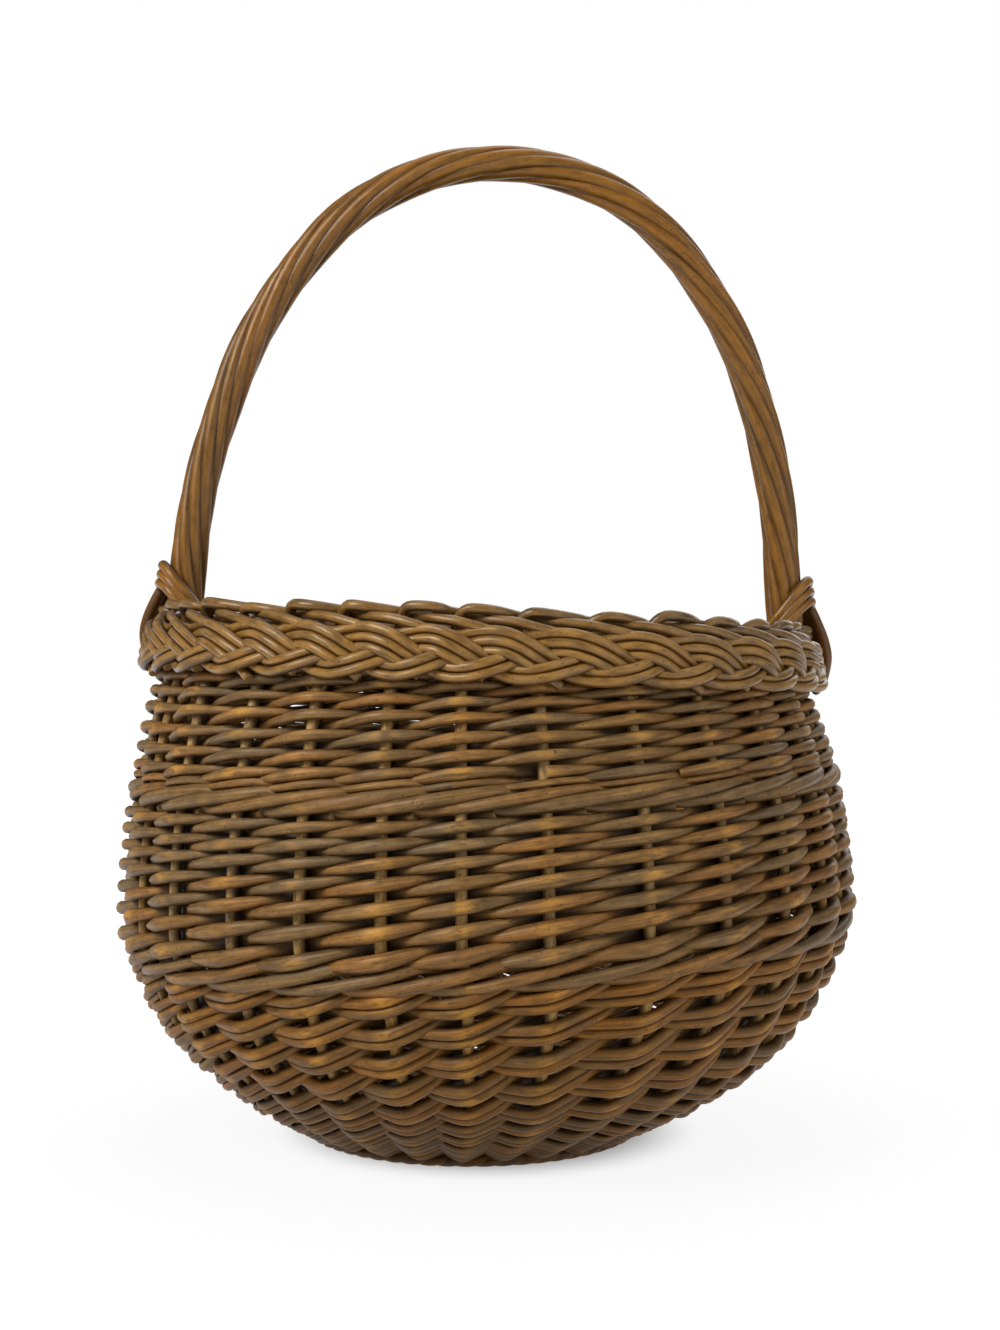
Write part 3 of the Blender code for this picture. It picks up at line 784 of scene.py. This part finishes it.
# A rod over its knuckle, and its trimmed tip from the plait's last point: units, radius, height
knuckle_places = (
    (-0.10, 0.1396, 0.2160),
    (-0.10, 0.1394, 0.2262),
    (-0.07, 0.1398, 0.2302),
    (0.06, 0.1422, 0.2333),
    (0.26, 0.1434, 0.2338),
    (0.52, 0.1424, 0.2332),
    (0.78, 0.1386, 0.2322),
    (0.96, 0.1354, 0.2314),
    (1.20, 0.1376, 0.2308),
    (1.50, 0.1426, 0.2302),
    (1.90, 0.1463, 0.2292),
    (2.30, 0.1478, 0.2269),
    (2.65, 0.1478, 0.2246),
)
trimmed_tip = np.array((
    (0.06, 0.0004, -0.0013),
    (0.12, 0.0005, -0.0026),
))
tip_share_limits = (0.10, 1.20)
crown_rows = slice(3, 8)
crest_rows = slice(4, 6)
crown_jitter = 0.0005
crest_jitter_units = 0.05

# Its rise inside the wall, from beside a stake to under the knuckle
rise_foot_depth = 0.012
rise_foot_out = 0.0008
rise_top_depth = 0.002
rise_top_out = -0.0002
rise_top_share = 0.92
rise_bend = (0.1408, 0.2080)
rise_bend_share = 0.45
rise_bend_units = -0.05

# Where it passes a leg of the handle
leg_push_radius = 0.1486
leg_clear_radius = 0.1315
leg_push_units = 0.42
leg_push_height = 0.2190
leg_push_rise = 0.0080

# Its thickness, and its tone and wear, which grow past the knuckle, partly as real wear and partly as painted
# light on the plait
border_spacing = 0.0018
border_taper_stations = 40
border_taper_shares = (1.05, 1.03, 0.93)
border_wobble_places = 40
border_wobble_share = 0.025
lit_from_share = 0.26
lit_run_share = 0.1
border_tone_shares = (0.1, 0.8)
lit_tone_share = 0.15
border_wear_and_light_shares = (0.32, 0.52)


def plait_places():
    """Units past its knuckle, radius and height of one rod through the three-strand plait."""
    turn = np.linspace(first_turn, last_turn, plait_station_count)
    rise = plait_rise * np.sin(turn) - plait_drop
    out = -plait_depth * np.sin(2 * turn)
    units = first_crest_units + (turn - math.pi / 2) / (2 * math.pi / strand_count)
    run = units * unit_angle * plait_radius
    lane = (1 - lane_drop_share * (turn - math.pi / 2) / math.pi) * lane_spacing
    slope = np.gradient(rise, run)
    stretch = np.sqrt(1 + slope ** 2)
    run = run - lane * slope / stretch
    rise = rise + lane / stretch
    radius = plait_radius - math.sin(plait_tilt) * rise + math.cos(plait_tilt) * out
    height = plait_height + math.cos(plait_tilt) * rise + math.sin(plait_tilt) * out
    return np.stack((run / (unit_angle * plait_radius), radius, height), axis=1)


def past_the_leg(angle, radius, height):
    """Radius of a border rod, pushed outward where it passes a leg of the handle."""
    away = np.abs(np.mod(angle - handle_angle + math.pi / 2, math.pi) - math.pi / 2) / unit_angle
    bump = between((leg_clear_radius, leg_push_radius), np.exp(-(away / leg_push_units) ** 2))
    share = smoothstep((height - leg_push_height) / leg_push_rise)
    return radius + np.maximum(bump - radius, 0.0) * share


def border_places(unit, plait):
    """Units past its knuckle, radius and height of one rod, from the wall to its trimmed tip."""
    stake = round(unit * unit_angle / bay_angle)
    start = (stake * bay_angle - unit * unit_angle) / unit_angle
    top_radius = float(np.interp(way_to_height(wall_top_height), wall_ways, wall_r))
    rise = (
        (start, top_radius + rise_foot_out, wall_top_height - rise_foot_depth),
        (start * rise_top_share, top_radius + rise_top_out, wall_top_height - rise_top_depth),
        (start * rise_bend_share + rise_bend_units, *rise_bend),
    )
    jitter = rng.normal(0.0, 1.0, 3)
    knuckles = np.array(knuckle_places)
    knuckles[crown_rows, 2] += crown_jitter * jitter[0]
    knuckles[crest_rows, 0] += crest_jitter_units * jitter[1]
    curve = curve_through(np.vstack((rise, knuckles, plait[:1])))
    tip = plait[-1] + trimmed_tip * np.clip((1 + jitter[2]) / 2, *tip_share_limits)
    return np.vstack((curve, plait[1:], tip))


def add_border(finish):
    """Each rod rises from the wall, bends over as a knuckle and runs into the plait."""
    rods = Rods()
    plait = plait_places()
    for unit in range(plait_unit_count):
        places = border_places(unit, plait)
        angle = first_stake_angle + (unit + places[:, 0]) * unit_angle
        radius = past_the_leg(angle, places[:, 1], places[:, 2])
        length = len(places)
        taper = np.interp(np.arange(length), (0, border_taper_stations, length), border_taper_shares)
        data = np.column_stack((polar(radius, angle, places[:, 2]), taper, angle))
        data = resample(data, border_spacing)
        outward = polar(math.cos(plait_tilt), data[:, 4], math.sin(plait_tilt))
        share = np.linspace(0.0, 1.0, len(data))
        # Painted light: past the knuckle the rods' tone and worn colour rise, partly as wear
        lit = smoothstep((share - lit_from_share) / lit_run_share)
        uneven = rng.uniform(*rod_size_shares) + wobble(share * border_wobble_places, border_wobble_share)
        tone = rng.uniform(*border_tone_shares) + lit_tone_share * lit
        rods.add(lean(data[:, :3]), border_rod_radius * data[:, 3] * uneven, outward, tone,
                 between(border_wear_and_light_shares, lit))
    rods.piece("border_rods", finish, "border", "border_plait")


# Bow of the handle: its foot in the wall by reach and height, and the rise over which it opens out
bow_foot_places = np.array(((0.1438, 0.2000), (0.1395, 0.2120)))
bow_station_count = 1201
bow_spacing = 0.0025
bow_overlap = 0.004
opening_height = 0.2060
opening_rise = 0.0260
core_radii = (0.0025, 0.0042)
core_tone = 0.4

# Rods roped round it: their lay, and how uneven they are
rope_pitch = 0.215
rope_orbit = 0.00530
orbit_shares = (0.62, 1.0)
rope_size_shares = (0.72, 1.0)
rope_tone_shares = (0.1, 0.9)
rope_height_share = 1.04
rope_sides = 18
# Worn colour on the outer faces of the roped rods, partly wear and partly a painted highlight
rope_wear_and_highlight = 0.36
lay_sway_turns = 0.012
lay_sway_length = 0.07
orbit_sway_share = 0.06
orbit_sway_step = 2.4
orbit_wobble_share = 0.03
orbit_wobble_length = 0.02
rope_wobble_share = 0.035
rope_wobble_length = 0.03


def handle_axes(angle):
    """Directions in the bow's plane, across it and up."""
    across = (-math.sin(angle), math.cos(angle), 0.0)
    return np.array(((math.cos(angle), math.sin(angle), 0.0), across, (0.0, 0.0, 1.0)))


def bow_line():
    """Centre of the bow, as reach and height, evenly spaced from right foot to left."""
    power = 2 / handle_squareness_share
    turn = np.linspace(0.0, math.pi, bow_station_count)
    reach = handle_half_width * np.sign(np.cos(turn)) * np.abs(np.cos(turn)) ** power
    height = handle_spring_height + (handle_apex_height - handle_spring_height) * np.sin(turn) ** power
    line = np.stack((reach, height), axis=1)
    line = line[height > rope_start_height - bow_overlap]
    line = np.vstack((bow_foot_places, line, bow_foot_places[::-1] * (-1, 1)))
    return resample(line, bow_spacing)


def add_handle(finish):
    """Core of the bow, and the rods roped round it with a long left-handed lay."""
    line = bow_line()
    ways = ways_along(line)
    run = np.gradient(line, axis=0)
    run /= np.linalg.norm(run, axis=1, keepdims=True)
    plane, across, upright = handle_axes(handle_angle)
    centre = plane * line[:, :1] + upright * line[:, 1:]
    outward = plane * run[:, 1:] - upright * run[:, :1]
    opened = smoothstep((line[:, 1] - opening_height) / opening_rise)
    core = Rods()
    core.add(lean(centre), between(core_radii, opened), outward, core_tone)
    core.piece("handle_core", finish, "handle", "handle_bow")
    orbit = rope_orbit * between(orbit_shares, opened)
    for number in range(rope_rod_count):
        lay = ways / rope_pitch + lay_sway_turns * np.sin(ways / lay_sway_length + number)
        turn = 2 * math.pi * (number / rope_rod_count - lay)
        around = outward * np.cos(turn)[:, None] + across * np.sin(turn)[:, None]
        uneven = (1 + orbit_sway_share * math.sin(orbit_sway_step * number)
                  + wobble(ways / orbit_wobble_length, orbit_wobble_share))
        path = centre + around * (orbit * uneven)[:, None]
        swell = 1 + wobble(ways / rope_wobble_length, rope_wobble_share)
        radius = rope_rod_radius * between(rope_size_shares, opened) * swell
        rods = Rods()
        rods.add(lean(path), radius, around, rng.uniform(*rope_tone_shares), rope_wear_and_highlight, sides=rope_sides,
                 height_share=rope_height_share, open_side=1.0)
        rods.piece(f"handle_rope_rod_{number + 1}", finish, "handle", f"handle_rod_{number + 1}")


# Loop of a foot rod round the leg: shares out and aside of the orbit, share of the rise, nesting
loop_places = (
    (-0.85, 0.62, -0.20, 0.0),
    (-0.55, 0.95, 0.08, 0.0),
    (-0.05, 1.08, 0.42, 0.0),
    (0.55, 0.95, 0.80, 0.4),
    (1.00, 0.35, 0.99, 1.0),
    (1.04, -0.30, 0.86, 1.0),
)

# The fall outside the border: inside its outermost radius, share aside, rise from the roping's start
fall_places = (
    (-0.0085, 0.62, 0.0140),
    (-0.0048, 0.72, 0.0070),
    (-0.0013, 0.82, -0.0014),
    (0.0000, 0.90, -0.0100),
    (-0.0025, 0.92, -0.0220),
)
foot_rod_count = 3
foot_leg_radius = 0.1375
foot_spacing = 0.0013
foot_tone_shares = (0.3, 1.0)
foot_wear = 0.5
loop_rise = 0.0205
loop_step_share = 1.80
loop_nesting_share = -0.06
fall_swing_share = 0.5
fall_radius = 0.1578
fall_setback = 0.0020


def add_foot_rods(name, angle, front, finish, node):
    """Rods tied round the foot of a leg, then over the border and down outside it."""
    orbit = rope_orbit + rope_rod_radius + foot_rod_radius
    plane, beside, upright = handle_axes(angle)
    rods = Rods()
    for number in range(foot_rod_count):
        step = number - (foot_rod_count - 1) / 2
        lift = rope_start_height + step * foot_rod_radius * loop_step_share
        places = [
            (foot_leg_radius + out * orbit * (1 + loop_nesting_share * step * turned),
             front * aside * orbit, rise * loop_rise + lift)
            for out, aside, rise, turned in loop_places
        ]
        swing = front * orbit * (1 + fall_swing_share * step)
        outermost = fall_radius - fall_setback * number
        places += [
            (outermost + out, -aside * swing, rope_start_height + rise) for out, aside, rise in fall_places
        ]
        curve = resample(curve_through(places), foot_spacing)
        path = plane * curve[:, :1] + beside * curve[:, 1:2] + upright * curve[:, 2:]
        centre_line = plane * foot_leg_radius + upright * curve[:, 2:]
        rods.add(lean(path), foot_rod_radius, path - centre_line, rng.uniform(*foot_tone_shares), foot_wear)
    rods.piece(name, finish, "handle", node)


# Base: the sticks, the pairing round them and the ring that the basket stands on
first_stick_angle = first_stake_angle + bay_angle / 2
fan_angle = math.pi / stick_count
stick_spacing = 2.1 * stick_radius
stick_end_radius = 0.0685
stick_fan_radius = 0.026
stick_step = 0.003
base_wear = 0.3
base_sides = 8
base_rod_radius = 0.0015
base_weave_radii = (0.0172, 0.0690)
base_round_count = 9
base_pair_share = 1.02
base_sway = 0.0016
ring_station_count = 480
ring_rod_count = 3
ring_lay_count = 19
ring_rod_radius = 0.0021
ring_orbit = 0.0016
ring_rise = 0.0012


def base_stick_path(group_angle, group_count, place, level):
    """Line of a base stick: it crosses the other group in the middle and fans out at both ends."""
    ahead = polar(1.0, group_angle, 0.0)[0]
    beside = polar(1.0, group_angle + math.pi / 2, 0.0)[0]
    reach = stick_spacing * (stick_count - group_count - 1) / 2 + stick_spacing
    step = place - (group_count - 1) / 2
    line = []
    for turn in (0, 1):
        sign = 1 - 2 * turn
        angle = group_angle + sign * step * fan_angle + turn * math.pi
        inner = ahead * reach * sign + beside * step * stick_spacing
        inner[2] = base_points(0.0, reach, level * stick_spacing / 2)[0, 2]
        outer = [base_points(angle, radius, 0.0)[0] for radius in (stick_end_radius, stick_fan_radius)]
        line += (outer + [inner])[::sign]
    return resample(curve_through(line), stick_step)


def add_base_sticks(finish):
    """Crossed sticks: the lower group through the upper one."""
    number = 0
    upper_count = stick_count - lower_stick_count
    middles = ((lower_stick_count - 1) / 2, lower_stick_count + (upper_count - 1) / 2)
    for count, level, middle in zip((lower_stick_count, upper_count), (1, -1), middles):
        for place in range(count):
            number += 1
            path = base_stick_path(first_stick_angle + fan_angle * middle, count, place, level)
            rods = Rods()
            rods.add(lean(path), stick_radius, downward(path), rng.uniform(0, 1), base_wear)
            rods.piece(f"base_stick_rod_{number}", finish, "bowl", f"base_stick_{number}")


def add_base_weave(finish):
    """Pairing in flat rounds between the cross and the stakes' feet."""
    spokes = 2 * stick_count
    bays = np.arange(base_round_count * spokes * rings_per_bay + 1) / rings_per_bay
    angle = first_stick_angle + bays * 2 * math.pi / spokes
    pitch = (base_weave_radii[1] - base_weave_radii[0]) / base_round_count
    for turn, letter in enumerate("ab"):
        rods = Rods()
        phase = bays + turn
        for side in (-1, 1):
            tone, thickness = joined(bays)
            radius = base_weave_radii[0] + pitch * bays / spokes + side * base_rod_radius * base_pair_share
            radius = radius + base_sway * np.sin(math.pi * phase)
            out = (stick_radius + base_rod_radius) * np.cos(math.pi * phase)
            path = base_points(angle, radius, out)
            rods.add(lean(path), base_rod_radius * thickness, downward(path), tone, crossing_wear(phase),
                     sides=base_sides)
        rods.piece(f"base_weaver_rods_{letter}", finish, "bowl", f"base_weaver_{letter}")


def add_foot_ring(finish):
    """Three rods roped together under the bends of the stakes."""
    rods = Rods()
    turns = 2 * math.pi * np.arange(ring_station_count) / ring_station_count
    for number in range(ring_rod_count):
        lay = 2 * math.pi * number / ring_rod_count + ring_lay_count * turns
        height = ring_rod_radius + ring_rise * (1 + np.sin(lay)) / 2
        path = polar(base_radius + ring_orbit * np.cos(lay), turns, height)
        rods.add(lean(path), ring_rod_radius, downward(path), rng.uniform(0, 1), base_wear,
                 sides=base_sides, closed=True)
    rods.piece("foot_ring_rods", finish, "bowl", "foot_ring")


# Camera at the photograph's place, and the picture's height and focal length in its pixels
camera_place = (0.0064, -0.92, 0.2125)
sensor_height = 36.0
picture_height = 1330
focal_pixels = 2000

# Lamps by side, power and place, all aimed at one point, and the strengths of the surroundings
lamps = {
    "key": (0.8, 17.0, (-0.95, -0.90, 1.05)),
    "fill": (1.2, 4.5, (0.95, -0.85, 0.60)),
    "top": (1.0, 4.6, (0.1, 0.25, 1.45)),
    "back": (1.0, 5.0, (0.45, 1.05, 0.85)),
}
lamp_target = (0.0, 0.0, 0.2)
plain_strength = 0.20
white_strength = 1.0

# Floor, and its share of white seen by the camera, by distance from the middle
floor_half_side = 6.0
floor_colour = (0.55, 0.55, 0.55, 1.0)
floor_roughness = 0.9
floor_specular_level = 0.1
floor_white_strength = 1.08
floor_white_shares = ((0.055, 0.20), (0.10, 0.84), (0.45, 1.0))


def add_camera():
    """Camera at the photograph's place, level and square to the basket."""
    data = bpy.data.cameras.new("camera")
    data.sensor_fit = "VERTICAL"
    data.sensor_height = sensor_height
    data.lens = sensor_height * focal_pixels / picture_height
    camera = add_object("camera", data)
    camera.location = camera_place
    camera.rotation_euler = (math.pi / 2, 0.0, 0.0)
    bpy.context.scene.camera = camera


def add_lamp(name, side, power, place):
    data = bpy.data.lights.new(name, "AREA")
    data.shape = "SQUARE"
    data.size = side
    data.energy = power
    lamp = add_object(name, data)
    lamp.location = place
    ahead = np.array(lamp_target) - np.array(place)
    yaw = math.atan2(ahead[1], ahead[0]) - math.pi / 2
    pitch = math.atan2(math.hypot(ahead[0], ahead[1]), -ahead[2])
    lamp.rotation_euler = (pitch, 0.0, yaw)


def white_to_camera(tree, surface):
    """Mixes plain white into what the camera and reflections see of the floor.

    The share of white grows from the middle, where the shadow lies, to all white far away.
    """
    place = add_node(tree, "ShaderNodeTexCoord", {})["Object"]
    away = add_node(tree, "ShaderNodeVectorMath", {0: place}, operation="LENGTH")["Value"]
    stops = [(distance, (white, white, white, 1.0)) for distance, white in floor_white_shares]
    share = add_ramp(tree, away, stops, "EASE")
    rays = add_node(tree, "ShaderNodeLightPath", {})
    seen = maths(tree, "MAXIMUM", rays["Is Camera Ray"], rays["Is Glossy Ray"])
    seen = maths(tree, "MAXIMUM", seen, rays["Is Transmission Ray"])
    amount = maths(tree, "MULTIPLY", seen, share)
    white = add_node(tree, "ShaderNodeEmission", {"Strength": floor_white_strength})[0]
    return add_node(tree, "ShaderNodeMixShader", {0: amount, 1: surface, 2: white})[0]


def add_surroundings():
    """World that is white to the camera and plain to the basket."""
    world = bpy.data.worlds.new("surroundings")
    world.use_nodes = True
    bpy.context.scene.world = world
    tree = world.node_tree
    rays = add_node(tree, "ShaderNodeLightPath", {})
    seen = maths(tree, "MAXIMUM", rays["Is Camera Ray"], rays["Is Transmission Ray"])
    ends = {"To Min": plain_strength, "To Max": white_strength}
    strength = add_node(tree, "ShaderNodeMapRange", {"Value": seen, **ends})["Result"]
    feed(tree, tree.nodes["Background"], {"Color": (1.0, 1.0, 1.0, 1.0), "Strength": strength})


def add_floor():
    """Pale floor that keeps the basket's shadow."""
    mesh = bpy.data.meshes.new("floor")
    corners = [(x * floor_half_side, y * floor_half_side, 0) for x, y in ((-1, -1), (1, -1), (1, 1), (-1, 1))]
    mesh.from_pydata(corners, [], [(0, 1, 2, 3)])
    paint = bpy.data.materials.new("floor_paint")
    paint.use_nodes = True
    tree = paint.node_tree
    shader = tree.nodes["Principled BSDF"]
    feed(tree, shader, {
        "Base Color": floor_colour,
        "Roughness": floor_roughness,
        "Specular IOR Level": floor_specular_level,
    })
    feed(tree, tree.nodes["Material Output"], {"Surface": white_to_camera(tree, shader.outputs[0])})
    mesh.materials.append(paint)
    add_object("floor", mesh)


def add_stage():
    """Camera, pale floor, white surroundings and soft lamps."""
    bpy.context.scene.view_settings.view_transform = "Standard"
    add_camera()
    add_surroundings()
    add_floor()
    for name, (side, power, place) in lamps.items():
        add_lamp(name, side, power, place)


def build():
    add_stage()
    finishes = make_finishes()
    add_stakes(finishes["stakes"])
    add_rand("lower_weaver_rods", finishes["bowl"], "bowl", bowl_ways(), bowl_rod_radii, bowl_fill_share,
             "lower_weaver", bowl_climb_keys, strand_rods=2, inside_spread=bowl_inside_spread)
    add_wale("lower_wale_rods", finishes["weave"], lower_wale_middle, lower_wale_half_rise, "lower_wale")
    add_rand("middle_weaver_rods", finishes["weave"], "weave", way_to_height(np.array(middle_row_heights)),
             middle_rod_radii, row_fill_share, "middle_weaver", even_climb_keys, strand_rods=1,
             inside_spread=row_inside_spread)
    add_wale("upper_wale_rods", finishes["weave"], upper_wale_middle, upper_wale_half_rise, "upper_wale",
             thin_pair=thin_pair_height)
    add_rand("upper_weaver_rods", finishes["weave"], "weave", way_to_height(np.array(upper_row_heights)),
             upper_rod_radii, row_fill_share, "upper_weaver", even_climb_keys, strand_rods=1,
             inside_spread=row_inside_spread, late_starts=upper_late_starts)
    add_border(finishes["border"])
    add_handle(finishes["handle"])
    add_foot_rods("right_foot_rods", handle_angle, -1, finishes["handle"], "right_foot_loop")
    add_foot_rods("left_foot_rods", handle_angle + math.pi, 1, finishes["handle"], "left_foot_loop")
    add_base_sticks(finishes["stakes"])
    add_base_weave(finishes["bowl"])
    add_foot_ring(finishes["bowl"])


build()
